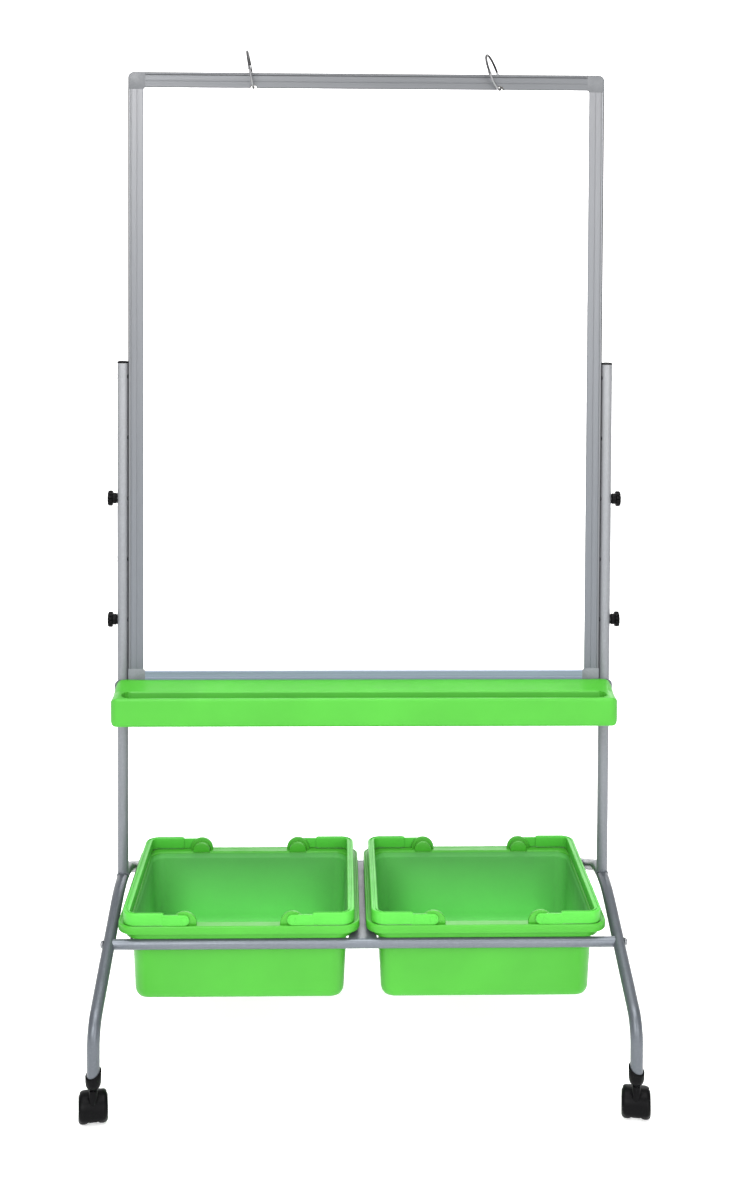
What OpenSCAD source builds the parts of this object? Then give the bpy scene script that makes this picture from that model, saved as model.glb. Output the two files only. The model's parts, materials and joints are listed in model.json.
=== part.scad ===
// Mobile children's easel: a double-sided marker board between two round posts on an
// arched tube base, with a marker tray, two lift-out tubs and four twin-wheel casters.
// Millimetres. X runs across the board, the front faces -Y, +Z is up.
// The origin is on the floor, midway between the posts.

/* [Board] */
// Width of the board over its frame
board_w = 775.4; // [700:0.1:790]
// Height of the board over its frame
board_h = 1003; // [800:1:1100]
// Height of the board's lower edge above the floor, at its lowest setting
board_z = 566; // [560:1:580]
// Thickness of the board frame
frame_t = 17; // [16:0.5:20]
// Width of the frame's face
frame_face = 25; // [22:0.5:27]
// Edge length of the square corner pieces
corner_size = 28.5; // [27:0.5:31]
// Thickness of each writing sheet
sheet_t = 0.5; // [0.4:0.1:0.8]

/* [Posts and base] */
// Outer diameter of the posts
post_d = 18; // [17:0.5:20]
// Height of the top of the posts
post_top = 1096; // [1085:1:1130]
// Outer diameter of the arched side tubes
side_d = 19; // [18:0.5:22]
// Wall of all tubes
wall = 1.2; // [1:0.1:1.5]
// Distance of each caster from the posts, front and back
foot_y = 300; // [290:1:310]
// Slope of the arched side tubes
slope = 21; // [20:0.5:22]
// Outer diameter of the cross rails
rail_d = 16; // [14:0.5:16]
// Distance of the cross rails from the posts, front and back
rail_y = 152; // [151:0.5:153]
// Distance between holes in the posts
hole_pitch = 100; // [90:5:100]

/* [Marker tray] */
// Length of the tray
tray_w = 812; // [790:1:812]
// How far the tray's front is from the posts' centre line
tray_front = 88; // [85:1:100]

/* [Tubs] */
// Width of a tub over its rim
tub_w = 377; // [368:1:378]
// Depth of a tub over its rim
tub_d = 320; // [316:1:324]
// Height of the tubs' rims above the floor
rim_z = 232.5; // [231:0.5:234]
// Gap between the two tubs' rims
tub_gap = 10; // [8:1:12]
// How far the tubs and their support sit to the left of the middle
tub_shift = 3; // [0:1:4]
// Distance of the handle pivots from the middle of a tub
pivot_x = 84; // [80:1:90]

/* [Casters] */
// Diameter of a caster wheel
wheel_d = 42; // [40:1:46]
// Distance of the axle behind the swivel stem
trail = 15; // [14:1:18]
// How far each caster is turned outward at rest, in degrees
caster_turn = 10; // [0:1:20]

/* [Rings] */
// Middle radius of the binder rings
ring_r = 30; // [28:0.5:32]
// Wire diameter of the binder rings
wire_d = 3.2; // [2.8:0.1:3.4]

/* [Hidden] */
$fn = 64;

// Clearances: between bodies that slide past each other, and round running shafts
gap = 0.3;
run = 0.05;
// Extra length of a cutting shape past the surface it cuts
over = 1;

// Paint and plastic colours
paint = "#9aa1aa";
alloy = "#a9b0b8";
green = "#5fd651";
black = "#222326";
steel = "#c9cbce";
white = "#f4f5f6";
grey_plastic = "#a2a8b0";

// Board
board_top = board_z + board_h;
panel_t = 14;
panel_in = 10.2;
slot_half = 3.3;
cavity_half = 6;
cavity_in = 2.5;
cavity_out = 8;
edge_r = 1.5;
corner_r = 10;
fillet_r = frame_face < corner_size ? corner_size - frame_face : 1;
ring_hole_z = board_top - 24;
ring_hole_r = 5.4;

// Posts, arches and rails
post_x = board_w / 2 + gap + post_d / 2;
foot_bend = 45;
crown_bend = 200;
// A bent stretch is a hair fatter than a straight one, and they overlap a little
bend_swell = 0.12;
joint_lap = 0.8;
leg_end = 68;
rail_z = 202;
bolt_r = 3;
bolt_hole_r = 3.2;
plug_len = 22;
side_r = side_d / 2;
crown_z = 246;
apex_z = crown_z + crown_bend * (1 / cos(slope) - 1);
knee_z = apex_z - foot_y * tan(slope);
knee_tangent = foot_bend * tan((90 - slope) / 2);
slope_start = [crown_bend * sin(slope), crown_z - crown_bend * (1 - cos(slope))];
slope_end = [foot_y - knee_tangent * cos(slope), knee_z + knee_tangent * sin(slope)];
slope_len = norm(slope_end - slope_start);

// Post holes, knobs and their studs
top_hole_z = post_top - 22;
hole_zs = [for (i = [0:4]) top_hole_z - i * hole_pitch];
hole_r = 3.3;
knob_zs = [hole_zs[2], hole_zs[4]];
stud_r = 3;
knob_r = 12.5;
knob_hub_r = 9;
knob_start = post_x + post_d / 2 + 1.3;
knob_disc = knob_start + 6.2;
knob_end = knob_disc + 7.5;
flutes = 10;

// Marker tray and its backing plate
beam_front = -11;
beam_back = -post_d / 2;
beam_w = 818;
tray_top = 577;
tray_lip = 567;
tray_base = 521;
tray_floor = tray_base + 20;
trough_back = -50;
trough_end = 15;
tray_screw_zs = [tray_base + 12, tray_base + 44];
tray_screw_r = 2.5;

// Tubs
tub_x = (tub_w + tub_gap) / 2;
rim_r = 28;
skirt_h = 12.5;
collar_z = rail_z + rail_d / 2 + 0.1;
collar_size = [tub_w - 22, 2 * rail_y + 2.4];
open_size = [tub_w - 43, 276];
tub_wall = 2.2;
tub_base = 106;
pivot_z = rim_z + 8.5;
handle_x = tub_w / 2 - 8;
handle_y = tub_d / 2 - 2;
handle_top = rim_z + 19.5;
handle_base = rim_z + 0.5;
arm_t = 4;
arm_half_h = 8;
ear_z = rim_z + 1;
grip_start = pivot_x + 32;
peg_r = 3;
ear_r = 19.5;
ear_t = 5.7;
boss_r = 14.4;

// Casters
stem_r = 4;
axle_r = 2.5;
wheel_z = wheel_d / 2;
wheel_in = 6.8;
wheel_out = 21.3;
hood_r = wheel_d / 2 + 1.2;
hood_t = 2.3;
web_half = 5.8;
neck_r = 6.2;
cup_base = 56;
cup_top = 80;
cup_r = side_r + 2.2;
cup_slant = 17;

// Binder rings: place across the board, lean to the right and turn about the vertical,
// left ring first, then the hinge's barrel, eye and fork
ring_xs = [-185, 217];
ring_leans = [-9.8, -20.4];
ring_turns = [0, -18.5];
barrel_r = 2.9;
eye_half = 0.8;
fork_half = 2.4;

// Points of an arc about a centre
function arc(c, r, a0, a1, n = 6) =
    [for (i = [0:n]) c + r * [cos(a0 + (a1 - a0) * i / n), sin(a0 + (a1 - a0) * i / n)]];

// Outline of a rectangle with round corners, centred on the origin
function rounded(w, h, r) = concat(
    arc([w / 2 - r, h / 2 - r], r, 0, 90), arc([r - w / 2, h / 2 - r], r, 90, 180),
    arc([r - w / 2, r - h / 2], r, 180, 270), arc([w / 2 - r, r - h / 2], r, 270, 360));

// Stands a shape drawn in X and Y up in the YZ plane, its own Z along world X
module upright() {
    rotate([90, 0, 90]) children();
}

// Cylinder along X, centred on its length
module rod_x(r, length) {
    rotate([0, 90, 0]) cylinder(r = r, h = length, center = true);
}

// Cylinder along Y, centred on its length
module rod_y(r, length) {
    rotate([90, 0, 0]) cylinder(r = r, h = length, center = true);
}

// ---- Base ----

// Sloping run of one leg, drawn in the plane of the arch; its ends reach into the bends
module slope_run(r) {
    translate([slope_start[0], slope_start[1], 0])
        rotate([0, 90, -slope])
            translate([0, 0, -joint_lap]) cylinder(r = r, h = slope_len + 2 * joint_lap);
}

// Whole arch of a side tube, drawn in its own plane, ending at a height above the floor
module arch(r, end_z) {
    translate([0, crown_z - crown_bend, 0])
        rotate([0, 0, 90 - slope])
            rotate_extrude(angle = 2 * slope)
                translate([crown_bend, 0]) circle(r = r + bend_swell);
    for (side = [0, 1]) mirror([side, 0, 0]) {
        slope_run(r);
        translate([foot_y - foot_bend, knee_z - knee_tangent, 0])
            rotate_extrude(angle = 90 - slope)
                translate([foot_bend, 0]) circle(r = r + bend_swell);
        translate([foot_y, knee_z - knee_tangent + joint_lap, 0])
            rotate([90, 0, 0])
                cylinder(r = r, h = knee_z - knee_tangent + joint_lap - end_z);
    }
}

module side_tube(side) {
    color(paint)
        translate([side * post_x, 0, 0])
            difference() {
                upright() arch(side_r, leg_end);
                upright() arch(side_r - wall, leg_end - over);
                for (y = [-rail_y, rail_y])
                    translate([0, y, rail_z]) rod_x(bolt_hole_r, 2 * side_d);
            }
}

module post(side) {
    color(paint)
        difference() {
            translate([side * post_x, 0, crown_z])
                cylinder(r = post_d / 2, h = post_top - crown_z);
            translate([side * post_x, 0, crown_z - over])
                cylinder(r = post_d / 2 - wall, h = post_top - crown_z + 2 * over);
            translate([side * post_x, 0, 0]) upright() arch(side_r, leg_end);
            for (z = hole_zs)
                translate([side * post_x, 0, z]) rod_x(hole_r, 2 * post_d);
            for (z = tray_screw_zs)
                translate([side * post_x, 0, z]) rod_y(tray_screw_r, 2 * post_d);
        }
}

// Plastic end caps: a plug inside the tube and a low dome on top
module post_caps() {
    dome = [for (a = [0:15:90]) [post_d / 2 * cos(a), 1 + 2.5 * sin(a)]];
    color(black)
        for (side = [-1, 1])
            translate([side * post_x, 0, post_top])
                rotate_extrude()
                    polygon(concat([[0, -12], [post_d / 2 - wall, -12],
                                    [post_d / 2 - wall, 0], [post_d / 2, 0]], dome));
}

// A cross rail with solid end plugs that take the rail bolts
module rail(y) {
    reach = post_x - side_r;
    color(paint)
        difference() {
            translate([0, y, rail_z]) rod_x(rail_d / 2, 2 * post_x);
            translate([0, y, rail_z]) rod_x(rail_d / 2 - wall, 2 * (reach - plug_len));
            for (side = [-1, 1]) {
                translate([side * post_x, 0, 0])
                    upright()
                        mirror([y < 0 ? 1 : 0, 0, 0]) slope_run(side_r);
                translate([side * reach, y, rail_z]) rod_x(bolt_r, 2 * (plug_len - 4));
            }
        }
}

module rail_bolts() {
    head_h = 3.5;
    color(steel)
        for (side = [-1, 1], y = [-rail_y, rail_y])
            translate([side * (post_x + side_r), y, rail_z])
                rotate([0, side * 90, 0]) {
                    cylinder(r1 = 5.5, r2 = 4, h = head_h);
                    translate([0, 0, -side_d - plug_len + 5])
                        cylinder(r = bolt_r, h = side_d + plug_len - 5);
                }
}

// Flat support between the tubs: a channel with its flanges down, cut to fit the rails
module centre_support() {
    width = 44;
    depth = 12;
    top = rail_z + rail_d / 2 - 0.5;
    color(paint)
        difference() {
            translate([-width / 2 - tub_shift, -rail_y, top - depth])
                cube([width, 2 * rail_y, depth]);
            translate([wall - width / 2 - tub_shift, -rail_y - over, top - depth - over])
                cube([width - 2 * wall, 2 * (rail_y + over), depth - wall + over]);
            for (y = [-rail_y, rail_y])
                translate([0, y, rail_z]) rod_x(rail_d / 2, 2 * width);
        }
}

module caster_sockets() {
    color(black)
        for (x = [-post_x, post_x], y = [-foot_y, foot_y])
            translate([x, y, 0])
                difference() {
                    rotate_extrude()
                        polygon([[stem_r + run, cup_base], [neck_r, cup_base],
                                 [cup_r - 2.5, cup_base + 4], [cup_r - 0.5, cup_base + 9],
                                 [cup_r, cup_base + 15], [cup_r, cup_top + 5],
                                 [side_r, cup_top + 5], [side_r, leg_end],
                                 [stem_r + run, leg_end]]);
                    translate([0, 0, cup_top])
                        rotate([0, sign(x) * cup_slant, 0])
                            translate([-2 * cup_r, -2 * cup_r, 0]) cube(4 * cup_r);
                }
}

// ---- Tray ----

// Backing plate screwed to the posts, with a flange that the board rests on
module tray_beam() {
    plate_z = [tray_base + 5, tray_top - 1];
    flange_w = 760;
    color(paint)
        difference() {
            union() {
                translate([0, beam_back, (plate_z[0] + plate_z[1]) / 2])
                    rotate([90, 0, 0])
                        linear_extrude(beam_back - beam_front)
                            polygon(rounded(beam_w, plate_z[1] - plate_z[0], 8));
                translate([-flange_w / 2, beam_front, board_z - 2.1])
                    cube([flange_w, frame_t / 2 - beam_front, 2]);
            }
            for (x = [-post_x, post_x], z = tray_screw_zs)
                translate([x, 0, z]) rod_y(tray_screw_r, 4 * post_d);
        }
}

// Moulded tray: a sloping ledge, a round-ended marker trough and a front lip, hollow from below
module marker_tray() {
    front = -tray_front;
    end_wall = 16;
    skin = 2.5;
    lip_r = 8;
    ledge_z = tray_lip + 1.5;
    trough = [[trough_back, tray_top], [trough_back, ledge_z - 2], [trough_back - 3, tray_floor + 5],
              [trough_back - 8, tray_floor], [front + 14, tray_floor], [front + 9, tray_floor + 5],
              [front + 6, tray_lip - 1], [front + 6, tray_top]];
    hollow = [[beam_front - 3, tray_base - over], [beam_front - 3, tray_top - 6],
              [trough_back + 4, ledge_z - skin - 2], [trough_back, tray_floor - 1],
              [trough_back - 5, tray_floor - skin - 1], [front + skin, tray_floor - skin - 1],
              [front + skin, tray_base - over]];
    side_view = concat([[beam_front, tray_base], [beam_front, tray_top], [beam_front - 6, tray_top],
                        [trough_back, ledge_z]],
                       arc([front + lip_r, tray_lip - lip_r], lip_r, 90, 180),
                       arc([front + 6, tray_base + 6], 6, 180, 270));
    front_view = concat(arc([tray_w / 2 - 14, tray_top - 14], 14, 0, 90),
                        arc([14 - tray_w / 2, tray_top - 14], 14, 90, 180),
                        arc([9 - tray_w / 2, tray_base + 9], 9, 180, 270),
                        arc([tray_w / 2 - 9, tray_base + 9], 9, 270, 360));
    color(green)
        difference() {
            intersection() {
                upright() linear_extrude(tray_w, center = true) polygon(side_view);
                translate([0, beam_front, 0])
                    linear_extrude(2 * tray_top)
                        polygon(rounded(tray_w, 2 * (beam_front - front), 12));
                rotate([90, 0, 0]) linear_extrude(2 * tray_front) polygon(front_view);
            }
            intersection() {
                upright()
                    linear_extrude(tray_w - 2 * end_wall, center = true) polygon(trough);
                translate([0, (trough_back + front + 6) / 2, 0])
                    linear_extrude(2 * tray_top)
                        polygon(rounded(tray_w - 2 * end_wall, trough_back - front - 6, trough_end));
            }
            upright()
                linear_extrude(tray_w - 2 * end_wall, center = true) polygon(hollow);
            for (side = [-1, 1])
                translate([side * (tray_w - end_wall - 0.5) / 2, (beam_front + front) / 2, 0])
                    translate([-5.25, -31, tray_base - over])
                        cube([10.5, 62, tray_lip - tray_base - 8]);
            for (x = [-post_x, post_x], z = tray_screw_zs)
                translate([x, beam_front, z]) rod_y(tray_screw_r, 5);
        }
}

module tray_screws() {
    color(steel)
        for (x = [-post_x, post_x], z = tray_screw_zs)
            translate([x, post_d / 2, z])
                rotate([90, 0, 0]) {
                    cylinder(r = tray_screw_r, h = post_d / 2 - beam_front + 2.5);
                    translate([0, 0, -3]) cylinder(r1 = 3.5, r2 = 4.8, h = 3);
                }
}

// ---- Board ----

// Section of the frame extrusion: X inward from the outer edge, Y through the thickness.
// An open T-slot runs along the outer edge and a groove holds the panel.
module frame_section() {
    half = frame_t / 2;
    groove_in = 4.5;
    difference() {
        polygon(concat([[frame_face, -half], [frame_face, half]],
                       arc([edge_r, half - edge_r], edge_r, 90, 180, 4),
                       arc([edge_r, edge_r - half], edge_r, 180, 270, 4)));
        translate([-over, -slot_half]) square([cavity_in + 2 * over, 2 * slot_half]);
        translate([cavity_in, -cavity_half]) square([cavity_out - cavity_in, 2 * cavity_half]);
        translate([panel_in - 0.2, -panel_t / 2]) square([frame_face, panel_t]);
        for (side = [-1, 1])
            translate([groove_in, side * half - 0.4]) square([0.7, 0.8]);
    }
}

// A frame member along X at the top or bottom edge, with the ring holes through its lip
module cross_member(is_top) {
    color(alloy)
        difference() {
            translate([0, 0, is_top ? board_top : board_z])
                rotate([0, is_top ? 90 : -90, 0])
                    linear_extrude(board_w - 2 * corner_size, center = true) frame_section();
            if (is_top) ring_holes();
        }
}

module stile(side) {
    color(alloy)
        mirror([side > 0 ? 1 : 0, 0, 0])
            translate([-board_w / 2, 0, board_z + corner_size])
                linear_extrude(board_h - 2 * corner_size) frame_section();
}

// One corner piece at the lower left, with a tongue into the rail beside it.
// A lower corner is open below so that the T-slot runs out of the board.
module corner(is_top) {
    tongue = 14;
    slack = 0.2;
    outline = concat(arc([corner_r, corner_r], corner_r, 180, 270), [[corner_size, 0]],
                     arc([corner_size, corner_size], fillet_r, 270, 180), [[0, corner_size]]);
    tongue_size = [tongue + over, 2 * (cavity_half - slack), cavity_out - cavity_in - 2 * slack];
    difference() {
        rotate([90, 0, 0]) linear_extrude(frame_t, center = true) polygon(outline);
        translate([panel_in - slack, -panel_t / 2, panel_in - slack])
            cube([corner_size, panel_t, corner_size]);
        if (!is_top) {
            translate([-over, -slot_half, -over])
                cube([cavity_in + 2 * over, 2 * slot_half, corner_size + 2 * over]);
            translate([cavity_in, -cavity_half, -over])
                cube([cavity_out - cavity_in, 2 * cavity_half, corner_size + 2 * over]);
        }
    }
    translate([corner_size - over, slack - cavity_half, cavity_in + slack]) cube(tongue_size);
    if (is_top)
        translate([cavity_in + slack, slack - cavity_half, corner_size - over])
            cube([tongue_size[2], tongue_size[1], tongue_size[0]]);
}

module board_corners() {
    color(grey_plastic)
        for (side = [0, 1], top = [0, 1])
            translate([0, 0, top ? board_top : board_z])
                mirror([0, 0, top])
                    mirror([side, 0, 0])
                        translate([-board_w / 2, 0, 0]) corner(top == 1);
}

module ring_holes() {
    for (x = ring_xs)
        translate([x, 0, ring_hole_z]) rod_y(ring_hole_r, 2 * frame_t);
}

// A layer of the board's panel between two depths
module panel_layer(y0, y1) {
    difference() {
        translate([panel_in - board_w / 2, y0, board_z + panel_in])
            cube([board_w - 2 * panel_in, y1 - y0, board_h - 2 * panel_in]);
        ring_holes();
    }
}

module front_sheet() {
    color(white) panel_layer(-panel_t / 2, sheet_t - panel_t / 2);
}

module board_core() {
    color("#c9b48e") panel_layer(sheet_t - panel_t / 2, panel_t / 2 - sheet_t);
}

module rear_sheet() {
    color(white) panel_layer(panel_t / 2 - sheet_t, panel_t / 2);
}

// ---- Binder rings ----

// Puts a ring drawn in its own plane into its hole in the board
module in_board(i) {
    translate([ring_xs[i], 0, ring_hole_z + 0.3])
        rotate([0, ring_leans[i], 0])
            rotate([0, 0, ring_turns[i]])
                translate([0, 0, ring_r])
                    upright() children();
}

// Arc of ring wire between two angles from the rear
module wire(from, to) {
    rotate([0, 0, from])
        rotate_extrude(angle = to - from) translate([ring_r, 0]) circle(d = wire_d);
}

// Lower half, through the board, with the fork of the hinge at the front
module ring_hoop(i) {
    color(steel)
        in_board(i) {
            wire(187, 359.6);
            difference() {
                for (side = [-1, 1])
                    translate([-ring_r, 0, side * (fork_half + eye_half + 0.15) / 2]) {
                        cylinder(r = barrel_r, h = fork_half - eye_half - 0.15, center = true);
                        translate([-1.5, -5, -(fork_half - eye_half - 0.15) / 2])
                            cube([3, 4, fork_half - eye_half - 0.15]);
                    }
                translate([-ring_r, 0, 0]) cylinder(r = 1, h = 3 * fork_half, center = true);
            }
        }
}

// Upper half, which opens on the hinge pin
module ring_gate(i) {
    color(steel)
        in_board(i) {
            wire(0.4, 173);
            difference() {
                union() {
                    translate([-ring_r, 0, 0])
                        cylinder(r = barrel_r, h = 2 * eye_half, center = true);
                    translate([-ring_r - 1.5, 1, -eye_half]) cube([3, 4, 2 * eye_half]);
                }
                translate([-ring_r, 0, 0])
                    cylinder(r = 1 + run, h = 3 * eye_half, center = true);
            }
        }
}

module ring_pin(i) {
    color(steel)
        in_board(i)
            translate([-ring_r, 0, 0]) cylinder(r = 1, h = 2 * fork_half, center = true);
}

// ---- Clamp knobs ----

// T-headed studs from the board's slot out through the posts
module knob_studs() {
    head = 4.6;
    head_x = board_w / 2 - cavity_in - gap;
    color(steel)
        for (side = [0, 1], z = knob_zs)
            mirror([side, 0, 0])
                translate([head_x, 0, z]) {
                    translate([-head, -5.6, -5.6]) cube([head, 11.2, 11.2]);
                    rotate([0, 90, 0]) cylinder(r = stud_r, h = knob_end - 4 - head_x);
                }
}

module knob_washers() {
    color(black)
        for (side = [0, 1], z = knob_zs)
            mirror([side, 0, 0])
                translate([post_x + post_d / 2 + 0.5, 0, z])
                    difference() {
                        rod_x(8, 1);
                        rod_x(hole_r, 2 + over);
                    }
}

// Fluted knob with a narrower hub towards the post
module knob(side, z) {
    color(black)
        mirror([side < 0 ? 1 : 0, 0, 0])
            translate([0, 0, z])
                difference() {
                    rotate([0, 90, 0])
                        rotate_extrude()
                            polygon([[0, knob_start], [knob_hub_r, knob_start],
                                     [knob_hub_r, knob_disc], [knob_r - 1, knob_disc],
                                     [knob_r, knob_disc + 1], [knob_r, knob_end - 1.5],
                                     [knob_r - 1.5, knob_end], [0, knob_end]]);
                    translate([knob_start - over, 0, 0])
                        rotate([0, 90, 0])
                            cylinder(r = stud_r + run, h = knob_end - 3.5 - knob_start + over);
                    for (i = [1:flutes])
                        rotate([i * 360 / flutes, 0, 0])
                            translate([knob_disc + 8, 0, knob_r + 1]) rod_x(2.4, 18);
                }
}

// ---- Tubs ----

// Thin rounded slab, used as one station of the tub's tapering walls
module slab(size, r, z) {
    translate([0, 0, z]) linear_extrude(0.1) polygon(rounded(size[0], size[1], r));
}

// Rounded rectangular wall with an outer size and a thickness
module ring_wall(size, r, t, z0, z1) {
    translate([0, 0, z0])
        linear_extrude(z1 - z0)
            difference() {
                polygon(rounded(size[0], size[1], r));
                polygon(rounded(size[0] - 2 * t, size[1] - 2 * t, r - t));
            }
}

// A tub: tapering body, rim with a skirt, a collar that sits on the rails, handle ears
module tub(side) {
    outer = open_size + 2 * tub_wall * [1, 1];
    taper = [10, 10];
    ear_y = handle_y - arm_t - gap - ear_t / 2;
    color(green)
        translate([side * tub_x - tub_shift, 0, 0])
            difference() {
                union() {
                    hull() {
                        slab(outer, 24, rim_z - 0.1);
                        slab(outer - taper, 20, tub_base + 14);
                        slab(outer - taper - [6, 6], 18, tub_base + 4);
                        slab(outer - taper - [20, 20], 14, tub_base);
                    }
                    ring_wall([tub_w, tub_d], rim_r, 24, rim_z - 2.5, rim_z);
                    ring_wall([tub_w, tub_d], rim_r, 2.5, rim_z - skirt_h, rim_z - over);
                    ring_wall(collar_size, rim_r - 4, 2.5, collar_z, rim_z - over);
                    for (x = [-pivot_x, pivot_x], y = [-1, 1])
                        translate([x, 0, 0])
                            intersection() {
                                union() {
                                    translate([0, y * ear_y, ear_z]) rod_y(ear_r, ear_t);
                                    translate([0, y * (open_size[1] + ear_y) / 3, ear_z])
                                        rod_y(boss_r, 10);
                                }
                                translate([-2 * ear_r, -tub_d, rim_z - over])
                                    cube([4 * ear_r, 2 * tub_d, 2 * ear_r]);
                            }
                }
                hull() {
                    slab(open_size, 22, rim_z + over);
                    slab(open_size - taper, 18, tub_base + 15);
                    slab(open_size - taper - [6, 6], 16, tub_base + 6);
                    slab(open_size - taper - [18, 18], 12, tub_base + tub_wall);
                }
                for (x = [-pivot_x, pivot_x], y = [-1, 1])
                    translate([x, y * (ear_y + 1), pivot_z]) rod_y(peg_r + run, 10);
            }
}

// U-shaped swing handle lying on the rim: wide grip, thin arms, pegs into the ears
module handle(tub_side, side) {
    grip_w = 11;
    arm_w = 7;
    bend = 22;
    grip_h = handle_top - handle_base;
    outer = concat([[grip_start, -handle_y]], arc([handle_x - bend, bend - handle_y], bend, 270, 360),
                   arc([handle_x - bend, handle_y - bend], bend, 0, 90), [[grip_start, handle_y]]);
    inner_bend = bend - grip_w;
    inner_c = [handle_x - grip_w - inner_bend, handle_y - arm_w - inner_bend];
    inner = concat([[grip_start, handle_y - arm_w]], arc(inner_c, inner_bend, 90, 0),
                   arc([inner_c[0], -inner_c[1]], inner_bend, 360, 270),
                   [[grip_start, arm_w - handle_y]]);
    color(green)
        translate([tub_side * tub_x - tub_shift, 0, 0])
            mirror([side < 0 ? 1 : 0, 0, 0])
                difference() {
                    union() {
                        translate([0, 0, handle_base])
                            linear_extrude(grip_h) polygon(concat(outer, inner));
                        for (y = [-1, 1])
                            translate([0, y * (handle_y - arm_t / 2), pivot_z]) {
                                translate([pivot_x, -arm_t / 2, -arm_half_h])
                                    cube([grip_start - pivot_x + over, arm_t, 2 * arm_half_h]);
                                translate([pivot_x, 0, 0]) rod_y(arm_half_h, arm_t);
                                translate([pivot_x, -y * 4.5, 0]) rod_y(peg_r, 7);
                            }
                    }
                    translate([handle_x - grip_w / 2 - 1.5, -handle_y, handle_top - 1.5])
                        cube([3, 2 * handle_y, 3]);
                    translate([handle_x - grip_w + 2.5, bend - handle_y, handle_base - over])
                        cube([grip_w - 5, 2 * (handle_y - bend), grip_h - 4 + over]);
                }
}

// ---- Casters ----

// Places a caster drawn about its stem; it trails towards the middle of the easel
module at_foot(side, end) {
    translate([side * post_x, end * foot_y, 0])
        rotate([0, 0, (end > 0 ? 180 : 0) + side * end * caster_turn])
            children();
}

// Hood: fender over both wheels, web between them, boss round the stem
module caster_hood(side, end) {
    color(black)
        at_foot(side, end)
            difference() {
                union() {
                    translate([0, trail, wheel_z])
                        upright()
                            rotate([0, 0, 50])
                                rotate_extrude(angle = 174)
                                    translate([hood_r, 1 - wheel_out])
                                        square([hood_t, 2 * (wheel_out - 1)]);
                    translate([0, trail, wheel_z])
                        upright()
                            linear_extrude(2 * web_half, center = true)
                                polygon(concat(arc([0, 0], hood_r + 1, 50, 205, 16),
                                               arc([0, 0], 8, 240, 390, 12)));
                    translate([0, 0, wheel_z + 12])
                        cylinder(r = neck_r, h = cup_base - 0.5 - wheel_z - 12);
                }
                translate([0, 0, wheel_z + 10]) cylinder(r = stem_r, h = 40);
                translate([0, trail, wheel_z]) rod_x(axle_r, 4 * web_half);
            }
}

module caster_stem(side, end) {
    color(steel)
        at_foot(side, end) translate([0, 0, wheel_z + 10]) cylinder(r = stem_r, h = 37);
}

module caster_axle(side, end) {
    color(steel)
        at_foot(side, end) translate([0, trail, wheel_z]) rod_x(axle_r, 2 * (wheel_out - 2.5));
}

// A wheel with a rounded tread, a dished outer face and a blind axle bore
module caster_wheel(side, end, which) {
    r = wheel_d / 2;
    dish = 1.5;
    color(black)
        at_foot(side, end)
            translate([0, trail, wheel_z])
                rotate([0, which * 90, 0])
                    rotate_extrude()
                        polygon([[axle_r + run, wheel_in], [r - 1.5, wheel_in], [r, wheel_in + 1.5],
                                 [r, wheel_out - 3], [r - 1, wheel_out - 1], [r - 3, wheel_out],
                                 [r - 6, wheel_out], [r - 7, wheel_out - dish],
                                 [0, wheel_out - dish], [0, wheel_out - 2.2],
                                 [axle_r + run, wheel_out - 2.2]]);
}

side_tube(-1);  // side_tube_left
side_tube(1);  // side_tube_right
post(-1);  // post_left
post(1);  // post_right
post_caps();
rail(-rail_y);  // front_rail
rail(rail_y);  // rear_rail
rail_bolts();
centre_support();
tray_beam();
marker_tray();
tray_screws();
caster_sockets();
knob_studs();
knob_washers();
cross_member(true);  // top_rail
cross_member(false);  // bottom_rail
stile(-1);  // left_stile
stile(1);  // right_stile
board_corners();
front_sheet();
board_core();
rear_sheet();
ring_hoop(0);  // ring_left_hoop
ring_gate(0);  // ring_left_gate
ring_pin(0);  // ring_left_pin
ring_hoop(1);  // ring_right_hoop
ring_gate(1);  // ring_right_gate
ring_pin(1);  // ring_right_pin
knob(-1, knob_zs[0]);  // knob_left_upper
knob(-1, knob_zs[1]);  // knob_left_lower
knob(1, knob_zs[0]);  // knob_right_upper
knob(1, knob_zs[1]);  // knob_right_lower
tub(-1);  // tub_left
tub(1);  // tub_right
handle(-1, -1);  // tub_left_handle_outer
handle(-1, 1);  // tub_left_handle_inner
handle(1, -1);  // tub_right_handle_inner
handle(1, 1);  // tub_right_handle_outer
caster_hood(-1, -1);  // caster_front_left_hood
caster_stem(-1, -1);  // caster_front_left_stem
caster_axle(-1, -1);  // caster_front_left_axle
caster_wheel(-1, -1, -1);  // caster_front_left_wheel_a
caster_wheel(-1, -1, 1);  // caster_front_left_wheel_b
caster_hood(1, -1);  // caster_front_right_hood
caster_stem(1, -1);  // caster_front_right_stem
caster_axle(1, -1);  // caster_front_right_axle
caster_wheel(1, -1, -1);  // caster_front_right_wheel_a
caster_wheel(1, -1, 1);  // caster_front_right_wheel_b
caster_hood(-1, 1);  // caster_rear_left_hood
caster_stem(-1, 1);  // caster_rear_left_stem
caster_axle(-1, 1);  // caster_rear_left_axle
caster_wheel(-1, 1, -1);  // caster_rear_left_wheel_a
caster_wheel(-1, 1, 1);  // caster_rear_left_wheel_b
caster_hood(1, 1);  // caster_rear_right_hood
caster_stem(1, 1);  // caster_rear_right_stem
caster_axle(1, 1);  // caster_rear_right_axle
caster_wheel(1, 1, -1);  // caster_rear_right_wheel_a
caster_wheel(1, 1, 1);  // caster_rear_right_wheel_b
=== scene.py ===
import json
import math

import bmesh
import bpy
from mathutils import Matrix, Vector


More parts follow.
